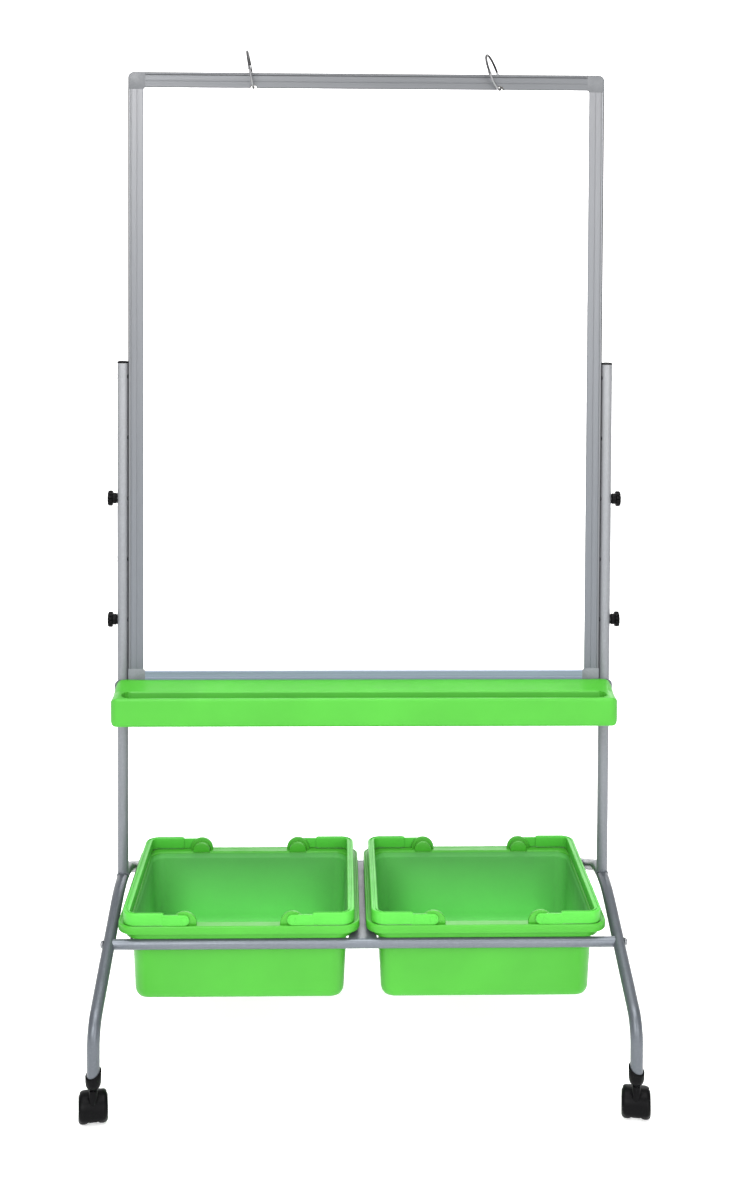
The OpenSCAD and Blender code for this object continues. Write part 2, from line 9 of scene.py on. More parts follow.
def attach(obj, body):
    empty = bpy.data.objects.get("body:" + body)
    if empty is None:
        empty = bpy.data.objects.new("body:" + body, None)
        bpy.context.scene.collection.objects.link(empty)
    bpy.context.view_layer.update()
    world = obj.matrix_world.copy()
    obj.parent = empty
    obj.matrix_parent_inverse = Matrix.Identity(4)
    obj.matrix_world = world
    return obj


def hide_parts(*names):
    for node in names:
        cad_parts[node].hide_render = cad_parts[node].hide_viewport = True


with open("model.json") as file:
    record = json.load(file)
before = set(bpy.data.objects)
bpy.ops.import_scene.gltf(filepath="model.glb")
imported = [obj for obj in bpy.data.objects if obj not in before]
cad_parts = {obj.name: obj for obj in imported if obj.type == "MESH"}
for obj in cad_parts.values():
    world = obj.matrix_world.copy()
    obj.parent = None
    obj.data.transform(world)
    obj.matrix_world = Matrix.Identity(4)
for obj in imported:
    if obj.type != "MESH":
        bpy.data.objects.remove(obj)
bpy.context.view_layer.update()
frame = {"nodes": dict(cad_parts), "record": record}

MM = 0.001
SIDES = (("left", -1), ("right", 1))
ENDS = (("front", -1), ("rear", 1))
NODES = frame["nodes"]


# ---- Sizes shared with the CAD source, in millimetres ----

POST_X, POST_R, SIDE_R = 397.0, 9.0, 9.5
HOLES, HOLE_TOP, HOLE_PITCH = 5, 1074.0, 100.0
FOOT_Y, SLOPE, CROWN_Z, CROWN_BEND, FOOT_BEND = 300.0, math.radians(21), 246.0, 200.0, 45.0
LEG_END, RAIL_Y, RAIL_Z, RAIL_R = 68.0, 152.0, 202.0, 8.0
BOARD_W, BOARD_Z, BOARD_TOP, FRAME_T, FRAME_FACE, CORNER = 775.4, 566.0, 1569.0, 17.0, 25.0, 28.5
KNOB_LEVELS, WASHER_T = (("upper", 874.0), ("lower", 674.0)), 1.3
RING_HOLE_Z, RING_XS = 1545.0, (("left", -185.0), ("right", 217.0))
TUB_X, TUB_SHIFT, RIM_Z, PIVOT_X, PIVOT_Z = 193.5, 3.0, 232.5, 84.0, 241.0
HANDLE_X, HANDLE_Y = 180.5, 158.0
WHEEL_R, TRAIL, CASTER_TURN = 21.0, 15.0, 10.0


# ---- Materials ----

class Nodes:
    """A material's node tree, with short calls for the nodes that repeat."""

    def __init__(self, name):
        self.mat = bpy.data.materials.new(name)
        self.mat.use_nodes = True
        self.tree = self.mat.node_tree
        self.shader = self.tree.nodes["Principled BSDF"]
        self.coords = self.tree.nodes.new("ShaderNodeTexCoord").outputs["Object"]

    def link(self, a, b):
        self.tree.links.new(a, b)

    def stretched(self, scale):
        node = self.tree.nodes.new("ShaderNodeMapping")
        node.inputs["Scale"].default_value = scale
        self.link(self.coords, node.inputs["Vector"])
        return node.outputs["Vector"]

    def noise(self, scale, detail=2.0, stretch=None, rough=0.5):
        node = self.tree.nodes.new("ShaderNodeTexNoise")
        node.inputs["Scale"].default_value = scale
        node.inputs["Detail"].default_value = detail
        node.inputs["Roughness"].default_value = rough
        self.link(self.stretched(stretch) if stretch else self.coords, node.inputs["Vector"])
        return node.outputs["Fac"]

    def span(self, value, lo, hi, from_lo=0.3, from_hi=0.7):
        node = self.tree.nodes.new("ShaderNodeMapRange")
        node.inputs["From Min"].default_value = from_lo
        node.inputs["From Max"].default_value = from_hi
        node.inputs["To Min"].default_value = lo
        node.inputs["To Max"].default_value = hi
        self.link(value, node.inputs["Value"])
        return node.outputs["Result"]

    def axis(self, letter):
        split = self.tree.nodes.new("ShaderNodeSeparateXYZ")
        self.link(self.coords, split.inputs["Vector"])
        return split.outputs[letter]

    def height(self, low, high):
        """Rises from 0 to 1 between two heights above the floor, in metres."""
        return self.span(self.axis("Z"), 0, 1, low, high)

    def math(self, op, a, b=0.0):
        node = self.tree.nodes.new("ShaderNodeMath")
        node.operation = op
        self.link(a, node.inputs[0])
        if hasattr(b, "links"):
            self.link(b, node.inputs[1])
        else:
            node.inputs[1].default_value = b
        return node.outputs["Value"]

    def mix(self, value, a, b):
        node = self.tree.nodes.new("ShaderNodeMix")
        node.data_type = "RGBA"
        self.link(value, node.inputs["Factor"])
        for sock, colour in ((node.inputs[6], a), (node.inputs[7], b)):
            if isinstance(colour, tuple):
                sock.default_value = (*colour, 1)
            else:
                self.link(colour, sock)
        return node.outputs[2]

    def bump(self, height, depth, strength=0.3, over=None):
        node = self.tree.nodes.new("ShaderNodeBump")
        node.inputs["Strength"].default_value = strength
        node.inputs["Distance"].default_value = depth
        self.link(height, node.inputs["Height"])
        if over is not None:
            self.link(over, node.inputs["Normal"])
        return node.outputs["Normal"]

    def set(self, **values):
        for key, value in values.items():
            self.shader.inputs[key.replace("_", " ")].default_value = value

    def finish(self, colour, rough, normal):
        self.link(colour, self.shader.inputs["Base Color"])
        self.link(rough, self.shader.inputs["Roughness"])
        self.link(normal, self.shader.inputs["Normal"])
        return self.mat


def tone(rgb, k):
    return tuple(min(1.0, c * k) for c in rgb)


def moulded(name, rgb, low, high, grain=900, swing=0.06, specular=0.4, depth=0.00006):
    """Injection-moulded plastic: faint cloudiness, uneven gloss and a fine sparked grain."""
    n = Nodes(name)
    cloud = n.span(n.noise(9, 3), 0, 1)
    colour = n.mix(cloud, tone(rgb, 1 - swing), tone(rgb, 1 + swing))
    rough = n.span(n.noise(40, 4), low, high)
    grainy = n.bump(n.noise(grain, 2), depth, 0.35)
    soft = n.bump(n.noise(14, 1), 0.0012, 0.12, grainy)
    n.set(Specular_IOR_Level=specular)
    return n.finish(colour, rough, soft)


def painted(name, rgb, metallic=0.45, top=None):
    """Stoved paint: a little orange peel and fine dust marks; a top colour adds painted light and
    shade by height.
    """
    n = Nodes(name)
    broad = n.span(n.noise(7, 3), 0, 1)
    fleck = n.span(n.noise(260, 3), 0, 1, 0.45, 0.75)

    # With a top colour the tone goes from rgb low down to top higher up: painted light and shade.
    def shade(k):
        return n.mix(n.height(0.25, 1.1), tone(rgb, k), tone(top, k)) if top else tone(rgb, k)

    base = n.mix(broad, shade(0.95), shade(1.05))
    colour = n.mix(fleck, base, shade(1.12))
    rough = n.span(n.noise(60, 4), 0.3, 0.42)
    peel = n.bump(n.noise(420, 2), 0.0001, 0.2)
    n.set(Metallic=metallic, Specular_IOR_Level=0.35)
    return n.finish(colour, rough, peel)


def extruded(name, low, high, stretch, metallic=0.3):
    """Anodised extrusion: fine die lines along its length; a low and a high colour mixed by height
    paint light and shade.
    """
    n = Nodes(name)
    lines = n.noise(1, 4, stretch, 0.65)
    # Painted light and shade: the colour goes from low to high with height.
    painted_light_and_shade_rise = n.height(0.6, 1.5)

    def shade(k):
        return n.mix(painted_light_and_shade_rise, tone(low, k), tone(high, k))

    base = n.mix(n.span(n.noise(5, 2), 0, 1), shade(0.93), shade(1))
    lighter = shade(1.12)
    colour = n.mix(n.span(lines, 0, 1), base, lighter)
    rough = n.span(lines, 0.3, 0.46)
    n.set(Metallic=metallic)
    return n.finish(colour, rough, n.bump(lines, 0.00005, 0.3))


def inner_plastic(name, high, low):
    """The tubs' inside: the same plastic, duller, with painted light and shade: lighter low down,
    darker near the rim and in the upright corners.
    """
    n = Nodes(name)
    # Painted light and shade: lighter low down, darker towards the rim.
    painted_light_and_shade_rise = n.height(0.13, 0.215)
    cloudy = n.mix(painted_light_and_shade_rise, tone(low, 0.93), tone(high, 0.93))
    plain = n.mix(n.span(n.noise(9, 3), 0, 1), cloudy, n.mix(painted_light_and_shade_rise, low, high))
    # Painted shade in the upright corners of each tub.
    across = n.math("ABSOLUTE", n.axis("X"))
    aside = n.math("ABSOLUTE", n.math("SUBTRACT", across, TUB_X * MM))
    deep = n.math("ABSOLUTE", n.axis("Y"))
    painted_corner_shade = n.math("MULTIPLY", n.span(aside, 0, 1, 0.105, 0.165), n.span(deep, 0, 1, 0.06, 0.135))
    colour = n.mix(painted_corner_shade, plain, tone(low, 0.6))
    n.set(Specular_IOR_Level=0.2)
    return n.finish(colour, n.span(n.noise(40, 4), 0.5, 0.62),
                    n.bump(n.noise(900, 2), 0.00006, 0.35))


def steel(name, rgb, low, high, scratch=700):
    """Plated wire or bolts, with fine marks that vary the gloss."""
    n = Nodes(name)
    marks = n.noise(scratch, 5)
    colour = n.mix(n.span(n.noise(90, 3), 0, 1), tone(rgb, 0.93), tone(rgb, 1.05))
    n.set(Metallic=1.0)
    return n.finish(colour, n.span(marks, low, high), n.bump(marks, 0.00003, 0.2))


def enamel(name, rgb):
    """Gloss enamel writing sheet: faint waviness and almost invisible wiping haze."""
    n = Nodes(name)
    haze = n.noise(3, 5, (1, 1, 3.5))
    colour = n.mix(n.span(haze, 0, 1), tone(rgb, 0.985), rgb)
    rough = n.span(haze, 0.16, 0.26)
    n.set(Specular_IOR_Level=0.35)
    return n.finish(colour, rough, n.bump(n.noise(60, 2), 0.00008, 0.15))


def fibre(name, rgb):
    """Pressed fibre, with its strands lying flat in the board."""
    n = Nodes(name)
    strands = n.noise(1, 5, (90, 900, 60), 0.7)
    colour = n.mix(n.span(strands, 0, 1), tone(rgb, 0.75), tone(rgb, 1.15))
    return n.finish(colour, n.span(strands, 0.75, 0.95), n.bump(strands, 0.0003, 0.5))


def floor_paint(name, rgb):
    """Matt white floor that gives off a little light, so that it clips to white."""
    n = Nodes(name)
    broad = n.span(n.noise(0.8, 3), 0, 1)
    n.set(Specular_IOR_Level=0.05, Emission_Color=(1, 1, 1, 1), Emission_Strength=0.35)
    return n.finish(n.mix(broad, tone(rgb, 0.995), rgb), n.span(n.noise(3, 2), 0.85, 0.95),
                    n.bump(n.noise(80, 2), 0.0001, 0.05))


GREEN = (0.040, 0.25, 0.018)
GREY = (0.072, 0.080, 0.092)
MATS = {
    "tube_paint": painted("Tube_paint", GREY),
    # Upright alloy: darker low down than high up, painted shade.
    "frame_alloy": extruded("Alloy_upright",
                            (0.08, 0.088, 0.099), (0.101, 0.103, 0.109), (500, 500, 1.5)),
    # A lit and shaded copy of the alloy for the top and bottom rails: lighter low down, darker high
    # up, painted light and shade.
    "cross_alloy_painted_light_and_shade": extruded("Alloy_cross_painted_light_and_shade",
                            (0.16, 0.185, 0.24), (0.062, 0.065, 0.07), (1.5, 500, 500)),
    # Corner plastic: lighter on the lower corners than the upper ones, painted light.
    "corner_plastic": painted("Corner_plastic", (0.13, 0.142, 0.156), 0.0, (0.074, 0.077, 0.082)),
    # Near-black alloy on outer edges and the rails' groove: painted shade.
    "edge_alloy_painted_shade": extruded("Alloy_edge_painted_shade",
                           (0.03, 0.032, 0.036), (0.022, 0.023, 0.025), (300, 300, 300)),
    # Near-black copy of the corner plastic for the corners' sides: painted shade.
    "corner_edge_painted_shade": moulded("Corner_edge_painted_shade", (0.026, 0.027, 0.03), 0.38, 0.5, specular=0.2),
    # Lighter alloy for the stiles' beads: painted highlight.
    "bead_alloy_painted_highlight": extruded("Alloy_bead_painted_highlight",
                           (0.082, 0.087, 0.094), (0.13, 0.133, 0.14), (500, 500, 1.5)),
    "rail_paint": painted("Rail_paint", tone(GREY, 1.35)),
    "green_handle": moulded("Green_handle", (0.052, 0.33, 0.03), 0.34, 0.46, specular=0.22),
    # Darker copy of the green for the trough's inside: painted shade.
    "green_trough_painted_shade": moulded("Green_trough_painted_shade", (0.035, 0.218, 0.016), 0.4, 0.5, specular=0.12),
    "white_sheet": enamel("White_enamel", (0.86, 0.86, 0.865)),
    "core_board": fibre("Core_fibre", (0.2, 0.185, 0.16)),
    "green_plastic": moulded("Green_plastic", GREEN, 0.32, 0.44, specular=0.22),
    # The tubs' inside, with painted light and shade.
    "green_inside_painted_light_and_shade": inner_plastic("Green_inside_painted_light_and_shade", (0.060, 0.26, 0.055), (0.115, 0.52, 0.10)),
    # Posts: lighter higher up, painted light.
    "post_paint": painted("Post_paint", (0.1, 0.108, 0.12), 0.12, (0.17, 0.174, 0.182)),
    "black_plastic": moulded("Black_plastic", (0.0022, 0.0022, 0.0025), 0.3, 0.42, specular=0.045),
    "wheel_plastic": moulded("Wheel_plastic", (0.0022, 0.0022, 0.0025), 0.35, 0.5, specular=0.045),
    "ring_steel": steel("Ring_steel", (0.035, 0.035, 0.036), 0.42, 0.52, 200),
    # Brighter copy of the wire steel for the hoops: painted reflection.
    "ring_painted_reflection": steel("Ring_painted_reflection", (0.2, 0.2, 0.205), 0.38, 0.48, 200),
    "zinc_steel": steel("Zinc_steel", (0.2, 0.205, 0.215), 0.3, 0.45),
}

slots = {}
for row in frame["record"]["subparts"]:
    slots[row["node"]] = row["material_slot"]
for name, obj in NODES.items():
    key = slots[name]
    # The top and bottom rails take the cross alloy with its painted light and shade.
    if name in ("top_rail", "bottom_rail"):
        key = "cross_alloy_painted_light_and_shade"
    # The posts and the centre support take the post paint, whose lighter top is painted light.
    if name in ("post_left", "post_right", "centre_support"):
        key = "post_paint"
    obj.data.materials.clear()
    obj.data.materials.append(MATS[key])


# ---- Mesh helpers: all lengths below are in millimetres until a piece is put in ----

BODY_OF = {}
for body_name, body_nodes in frame["record"]["behaviour"]["bodies"].items():
    for body_node in body_nodes:
        BODY_OF[body_node] = body_name


def put(obj):
    bpy.context.scene.collection.objects.link(obj)
    return obj


def mesh_object(name, bm, material=None, sharp=35.0):
    """An object from a bmesh, smooth except at edges sharper than an angle."""
    bmesh.ops.recalc_face_normals(bm, faces=bm.faces)
    mesh = bpy.data.meshes.new(name)
    bm.to_mesh(mesh)
    bm.free()
    mesh.polygons.foreach_set("use_smooth", [True] * len(mesh.polygons))
    mesh.set_sharp_from_angle(angle=math.radians(sharp))
    if material is not None:
        mesh.materials.append(material)
    return put(bpy.data.objects.new(name, mesh))


def piece(name, bm, nodes, material=None, sharp=35.0, stands_in=True):
    """Puts a finished piece in the place of one or more CAD nodes of one body."""
    bmesh.ops.scale(bm, vec=(MM, MM, MM), verts=bm.verts)
    first = nodes[0]
    obj = mesh_object(name, bm, material or MATS[slots[first]], sharp)
    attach(obj, BODY_OF[first])
    if stands_in:
        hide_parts(*nodes)
    return obj


def recolour(obj, material, chosen):
    """Gives a second material to the faces that chosen(centre in mm, normal) picks."""
    obj.data.materials.append(material)
    spot = len(obj.data.materials) - 1
    for face in obj.data.polygons:
        if chosen(face.center / MM, face.normal):
            face.material_index = spot


def arc(cx, cy, r, a0, a1, n=6):
    return [(cx + r * math.cos(math.radians(a0 + (a1 - a0) * i / n)),
             cy + r * math.sin(math.radians(a0 + (a1 - a0) * i / n))) for i in range(n + 1)]


def rounded(w, d, r, n=8):
    x, y = w / 2 - r, d / 2 - r
    return (arc(x, y, r, 0, 90, n) + arc(-x, y, r, 90, 180, n)
            + arc(-x, -y, r, 180, 270, n) + arc(x, -y, r, 270, 360, n))


def inset(outline, d):
    """The counter-clockwise outline moved inward."""
    out = []
    for i, here in enumerate(outline):
        p, q, r = Vector(outline[i - 1]), Vector(here), Vector(outline[(i + 1) % len(outline)])
        e0, e1 = (q - p).normalized(), (r - q).normalized()
        n0, n1 = Vector((-e0.y, e0.x)), Vector((-e1.y, e1.x))
        m = n0 + n1
        out.append(tuple(q + m * (d / max(0.5, m.dot(n0)))))
    return out


def loft(bm, loops, wrap=True, caps=(True, True), ring=False):
    """Skins a row of loops that have the same number of points."""
    rows = [[bm.verts.new(p) for p in loop] for loop in loops]
    n = len(rows[0])
    pairs = list(zip(rows, rows[1:])) + ([(rows[-1], rows[0])] if ring else [])
    for a, b in pairs:
        for i in range(n if wrap else n - 1):
            j = (i + 1) % n
            bm.faces.new((a[i], a[j], b[j], b[i]))
    if caps[0] and not ring:
        bm.faces.new(list(reversed(rows[0])))
    if caps[1] and not ring:
        bm.faces.new(rows[-1])
    return rows


def prism(bm, outline, place, lo, hi, bevel=0.8):
    """A flat outline given thickness, with rounded edges; place(u, v, w) gives the point."""
    steps = [(bevel, lo), (0.3 * bevel, lo + 0.3 * bevel), (0, lo + bevel),
             (0, hi - bevel), (0.3 * bevel, hi - 0.3 * bevel), (bevel, hi)]
    loft(bm, [[place(u, v, w) for u, v in (inset(outline, d) if d else outline)]
              for d, w in steps])


def lathe(bm, profile, place, segments=40, flute=None):
    """Turns (radius, height) points about an axis; flute(angle, radius) may change the radius."""
    loops = []
    for r, h in profile:
        loop = []
        for i in range(segments):
            a = 2 * math.pi * i / segments
            k = flute(a, r) if flute else r
            loop.append(place(k * math.cos(a), k * math.sin(a), h))
        loops.append(loop)
    loft(bm, loops, ring=profile[0] == profile[-1])


def sweep(bm, path, radius, across, segments=28, closed=False, caps=(True, True)):
    """Round bar along a path that lies in a plane whose normal is given."""
    loops = []
    n = len(path)
    for i, here in enumerate(path):
        a = path[i - 1] if (i or closed) else here
        b = path[(i + 1) % n] if (i < n - 1 or closed) else here
        along = (Vector(b) - Vector(a)).normalized()
        side = Vector(across).normalized()
        up = side.cross(along).normalized()
        side = along.cross(up).normalized()
        loops.append([Vector(here) + radius * (math.cos(t) * side + math.sin(t) * up)
                      for t in (2 * math.pi * k / segments for k in range(segments))])
    loft(bm, loops, caps=caps, ring=closed)


def cut(obj, cutters):
    """Takes other solids out of a piece, for good."""
    for tool in cutters:
        mod = obj.modifiers.new("Cut", "BOOLEAN")
        mod.operation = "DIFFERENCE"
        mod.solver = "EXACT"
        mod.object = tool
    graph = bpy.context.evaluated_depsgraph_get()
    mesh = bpy.data.meshes.new_from_object(obj.evaluated_get(graph))
    obj.modifiers.clear()
    obj.data = mesh
    mesh.polygons.foreach_set("use_smooth", [True] * len(mesh.polygons))
    mesh.set_sharp_from_angle(angle=math.radians(35))
    for tool in cutters:
        bpy.data.objects.remove(tool)


# ---- Base ----

def leg_path():
    """Centre line of a side tube, from the front foot over the crown to the rear foot."""
    apex = CROWN_Z + CROWN_BEND * (1 / math.cos(SLOPE) - 1)
    knee = apex - FOOT_Y * math.tan(SLOPE)
    tangent = FOOT_BEND * math.tan((math.pi / 2 - SLOPE) / 2)
    half = [(0, CROWN_Z)]
    for i in range(1, 9):
        a = SLOPE * i / 8
        half.append((CROWN_BEND * math.sin(a), CROWN_Z - CROWN_BEND * (1 - math.cos(a))))
    end = (FOOT_Y - tangent * math.cos(SLOPE), knee + tangent * math.sin(SLOPE))
    start = half[-1]
    for t in (0.25, 0.5, 0.75):
        half.append((start[0] + (end[0] - start[0]) * t, start[1] + (end[1] - start[1]) * t))
    for i in range(13):
        a = math.pi / 2 - SLOPE - (math.pi / 2 - SLOPE) * i / 12
        half.append((FOOT_Y - FOOT_BEND + FOOT_BEND * math.cos(a),
                     knee - tangent + FOOT_BEND * math.sin(a)))
    half.append((FOOT_Y, LEG_END))
    return [(-y, z) for y, z in reversed(half)] + half[1:]


def side_tubes():
    for side, sx in SIDES:
        bm = bmesh.new()
        sweep(bm, [(sx * POST_X, y, z) for y, z in leg_path()], SIDE_R, (1, 0, 0), 36)
        piece("Side_tube_" + side, bm, ["side_tube_" + side])
        bead = bmesh.new()
        n = 72
        line = []
        for i in range(n):
            a = 2 * math.pi * i / n
            r = POST_R + 0.3
            x, y = r * math.cos(a), r * math.sin(a)
            z = CROWN_Z - y * y / (2 * CROWN_BEND) + math.sqrt(max(0.0, SIDE_R ** 2 - x * x))
            line.append(Vector((sx * POST_X + x, y, z)))
        loops = []
        for i, p in enumerate(line):
            along = (line[(i + 1) % n] - line[i - 1]).normalized()
            out = (p - Vector((sx * POST_X, 0, p.z))).normalized()
            up = out.cross(along).normalized()
            fat = 1.5 + 0.22 * math.sin(i * 1.9) + 0.12 * math.sin(i * 0.7)
            loops.append([p + fat * (math.cos(t) * out + math.sin(t) * up)
                          for t in (2 * math.pi * k / 10 for k in range(10))])
        loft(bead, loops, ring=True)
        piece("Weld_" + side, bead, ["side_tube_" + side], stands_in=False)


def hole_rims():
    """Black rims in the posts' holes, on the side towards the board and outside: dark pieces that
    stand in for the shade in the holes, painted shade.
    """
    for side, sx in SIDES:
        bm = bmesh.new()
        for k in range(HOLES):
            z = HOLE_TOP - HOLE_PITCH * k
            for face in (-1, 1):
                if face > 0 and k in (2, 4):
                    continue    # a knob's washer covers the hole
                loops = []
                for r, lift in ((3.2, -2.0), (3.2, 0.06), (3.5, 0.16), (4.6, 0.16), (4.9, 0.02),
                                (4.9, -0.6)):
                    loop = []
                    for i in range(36):
                        a = 2 * math.pi * i / 36
                        y = r * math.cos(a)
                        x = math.sqrt(POST_R ** 2 - y * y) + lift
                        loop.append((sx * (POST_X + face * x), y, z + r * math.sin(a)))
                    loops.append(loop)
                loft(bm, loops, ring=True)
        rims = piece("Hole_rims_" + side, bm, ["post_" + side], MATS["black_plastic"],
                     stands_in=False)


def cups():
    """Black sockets on the leg ends; their rims slope up towards the middle of the easel."""
    lean, dip = math.tan(math.radians(17)), 0.36
    profile = [(4.05, 56.4), (5.4, 56), (6.2, 56.6), (6.6, 58), (8.2, 59.2), (9.8, 60.6),
               (10.9, 63.2), (11.5, 67), (11.7, 71), (11.75, None), (11.3, 0.55), (10.4, 0.6),
               (9.5, 0.1), (9.5, 68)]
    for sx in (-1, 1):
        for sy in (-1, 1):
            bm = bmesh.new()
            loops = []
            for r, z in profile:
                loop = []
                for i in range(48):
                    a = 2 * math.pi * i / 48
                    x, y = r * math.cos(a), r * math.sin(a)
                    top = 80 - lean * sx * x - dip * sy * y
                    height = top if z is None else (top + z if z < 1 else z)
                    loop.append((sx * POST_X + x, sy * FOOT_Y + y, height))
                loops.append(loop)
            loft(bm, loops)
            name = "Socket_%s_%s" % ("front" if sy < 0 else "rear", "left" if sx < 0 else "right")
            piece(name, bm, ["caster_sockets"], sharp=50)


def rails():
    """Cross rails whose ends run a little into the side tubes, and the bolts outside them."""
    for end, sy in ENDS:
        bm = bmesh.new()
        reach = POST_X - SIDE_R + 3.5
        sweep(bm, [(-reach + 2 * reach * i / 16, sy * RAIL_Y, RAIL_Z) for i in range(17)],
              RAIL_R, (0, 0, 1), 32)
        piece("Rail_" + end, bm, [end + "_rail"], MATS["rail_paint"])
    for side, sx in SIDES:
        for end, sy in ENDS:
            bm = bmesh.new()
            outside = sx * (POST_X + SIDE_R)
            profile = [(3.0, -2), (5.9, -0.3), (6.2, 0), (6.2, 0.9), (5.3, 1.3), (5.2, 2.2),
                       (4.7, 3.2), (3.6, 3.6), (2.4, 3.7), (2.2, 2.3), (0.2, 2.2)]
            lathe(bm, profile, lambda u, v, h: (outside + sx * h, sy * RAIL_Y + u, RAIL_Z + v), 36)
            piece("Rail_bolt_%s_%s" % (end, side), bm, ["rail_bolts"])


# ---- Casters ----

def casters():
    for end, sy in ENDS:
        for side, sx in SIDES:
            base = "caster_%s_%s" % (end, side)
            turn = Matrix.Rotation(math.radians((180 if sy > 0 else 0) + sx * sy * CASTER_TURN),
                                   4, "Z")
            spot = Matrix.Translation((sx * POST_X, sy * FOOT_Y, 0)) @ turn

            def place(x, y, z):
                return spot @ Vector((x, y, z))

            bm = bmesh.new()
            skin = [(-20.7, 20.4), (-21.1, 20.8), (-20.8, 21.6), (-19.8, 22.8), (-18, 23.8),
                    (-15, 24.4), (-8, 24.7), (0, 24.8), (8, 24.7), (15, 24.4), (18, 23.8),
                    (19.8, 22.8), (20.8, 21.6), (21.1, 20.8), (20.7, 20.4), (19.2, 21.3),
                    (16.5, 22.0), (0, 22.2), (-16.5, 22.0), (-19.2, 21.3)]
            loops = []
            first, last, steps = 46.0, 204.0, 33
            for i in range(steps + 1):
                a = math.radians(first + (last - first) * i / steps)
                near = min(i, steps - i)
                shrink = (1.0, 0.35, 0.08)[near] if near < 3 else 0
                slim = 0.055 * (max(math.degrees(a), 90) / 55 - 150 / 55) ** 2
                loops.append([place(x * (1 - slim - 0.02 * shrink),
                                    TRAIL + (r - 0.7 * shrink) * math.cos(a),
                                    WHEEL_R + (r - 0.7 * shrink) * math.sin(a)) for x, r in skin])
            loft(bm, loops)
            web = arc(0, 0, 22.4, 48, 212, 24) + arc(0, 0, 8, 240, 390, 14)
            prism(bm, web, lambda u, v, w: place(w, TRAIL + u, WHEEL_R + v), -5.8, 5.8, 0.5)
            neck = [(4.05, 30), (6.2, 30), (6.2, 54.2), (5.7, 55), (4.05, 55.2)]
            lathe(bm, neck + neck[:1], place, 36)
            piece("Hood_%s_%s" % (end, side), bm, [base + "_hood"])

            for letter, d in (("a", -1), ("b", 1)):
                bm = bmesh.new()
                r = WHEEL_R
                profile = [(2.55, 6.9), (7, 6.8), (r - 3.4, 6.8), (r - 1.7, 7.4), (r - 0.5, 9.0),
                           (r, 11.5), (r, 15.0), (r - 0.5, 17.4), (r - 1.6, 19.3), (r - 3.2, 20.8),
                           (r - 4.8, 21.3), (r - 5.4, 20.9), (r - 5.9, 19.9), (11.5, 19.7),
                           (10.9, 20.4), (10.2, 20.8), (9.2, 20.8), (8.4, 20.2), (5, 20.0),
                           (0.2, 20.1), (0.2, 19.1), (2.55, 19.1)]
                lathe(bm, profile + profile[:1],
                      lambda u, v, h: place(d * h, TRAIL + u, WHEEL_R + v), 56)
                piece("Wheel_%s_%s_%s" % (end, side, letter), bm, [base + "_wheel_" + letter])


# ---- Tubs and their handles ----

def ear(bm, cx, y0, y1, r, bevel):
    base = RIM_Z - 1.4
    centre = RIM_Z + 1.0
    a = math.degrees(math.asin((base - centre) / r))
    outline = arc(cx, centre, r, a, 180 - a, 30)
    prism(bm, outline, lambda u, v, w: (u, w, v), min(y0, y1), max(y0, y1), bevel)


def handle(side, which, cx, d):
    """A U-shaped grooved grip with an arm, a boss and a peg at each end; d is its way outward."""
    bm = bmesh.new()
    bend, grip_w, arm_w = 22, 11, 7
    root = (116, 120, 140)
    outer = ([(x, -HANDLE_Y) for x in root]
             + arc(HANDLE_X - bend, bend - HANDLE_Y, bend, 270, 360, 12)
             + [(HANDLE_X, 0)]
             + arc(HANDLE_X - bend, HANDLE_Y - bend, bend, 0, 90, 12)
             + [(x, HANDLE_Y) for x in reversed(root)])
    inner_r = bend - grip_w
    ix, iy = HANDLE_X - grip_w - inner_r, HANDLE_Y - arm_w - inner_r
    inner = ([(x, arm_w - HANDLE_Y) for x in root]
             + arc(ix, -iy, inner_r, 270, 360, 12) + [(HANDLE_X - grip_w, 0)]
             + arc(ix, iy, inner_r, 0, 90, 12)
             + [(x, HANDLE_Y - arm_w) for x in reversed(root)])
    zt, zb, groove = RIM_Z + 19.5, RIM_Z + 0.6, 1.4
    loops = []
    for k, (o, i) in enumerate(zip(outer, inner)):
        o, i = Vector(o), Vector(i)
        w = (i - o).length
        unit = (i - o).normalized()
        near = min(k, len(outer) - 1 - k)
        drop = 0.9 if near == 0 else 0
        section = [(0, zb + 1.2), (0, zt - 2.2), (0.35, zt - 0.9), (1.0, zt - 0.25),
                   (1.9, zt), (w / 2 - 1.7, zt - 0.1), (w / 2 - 1.2, zt - groove),
                   (w / 2 + 1.2, zt - groove), (w / 2 + 1.7, zt - 0.1), (w - 1.9, zt),
                   (w - 1.0, zt - 0.25), (w - 0.35, zt - 0.9), (w, zt - 2.2),
                   (w, zb + 1.2), (w - 0.4, zb + 0.3), (w - 1.2, zb), (1.2, zb),
                   (0.4, zb + 0.3)]
        mid = (zt + zb) / 2
        loop = []
        for a, z in section:
            a = w / 2 + (a - w / 2) * (1 - drop / 6)
            z = mid + (z - mid) * (1 - drop / 12)
            p = o + unit * a
            loop.append((cx + d * p.x, p.y, z))
        loops.append(loop)
    loft(bm, loops)
    arm = arc(PIVOT_X, PIVOT_Z, 8.3, 90, 270, 18) + [(118, 232.8), (118, 249.2)]
    for sy in (-1, 1):
        ends = sorted((sy * 153.9, sy * HANDLE_Y))
        prism(bm, arm, lambda u, v, w: (cx + d * u, w, v), ends[0], ends[1], 0.9)
        boss = sorted((sy * 157.5, sy * 158.7))
        prism(bm, arc(PIVOT_X, PIVOT_Z, 5.2, 0, 352.5, 47),
              lambda u, v, w: (cx + d * u, w, v), boss[0], boss[1], 0.5)
        peg = sorted((sy * 147.5, sy * 155))
        prism(bm, arc(PIVOT_X, PIVOT_Z, 3.0, 0, 345, 23),
              lambda u, v, w: (cx + d * u, w, v), peg[0], peg[1], 0.3)
    piece("Handle_%s_%s" % (side, which), bm, ["tub_%s_handle_%s" % (side, which)],
          MATS["green_handle"], sharp=40)


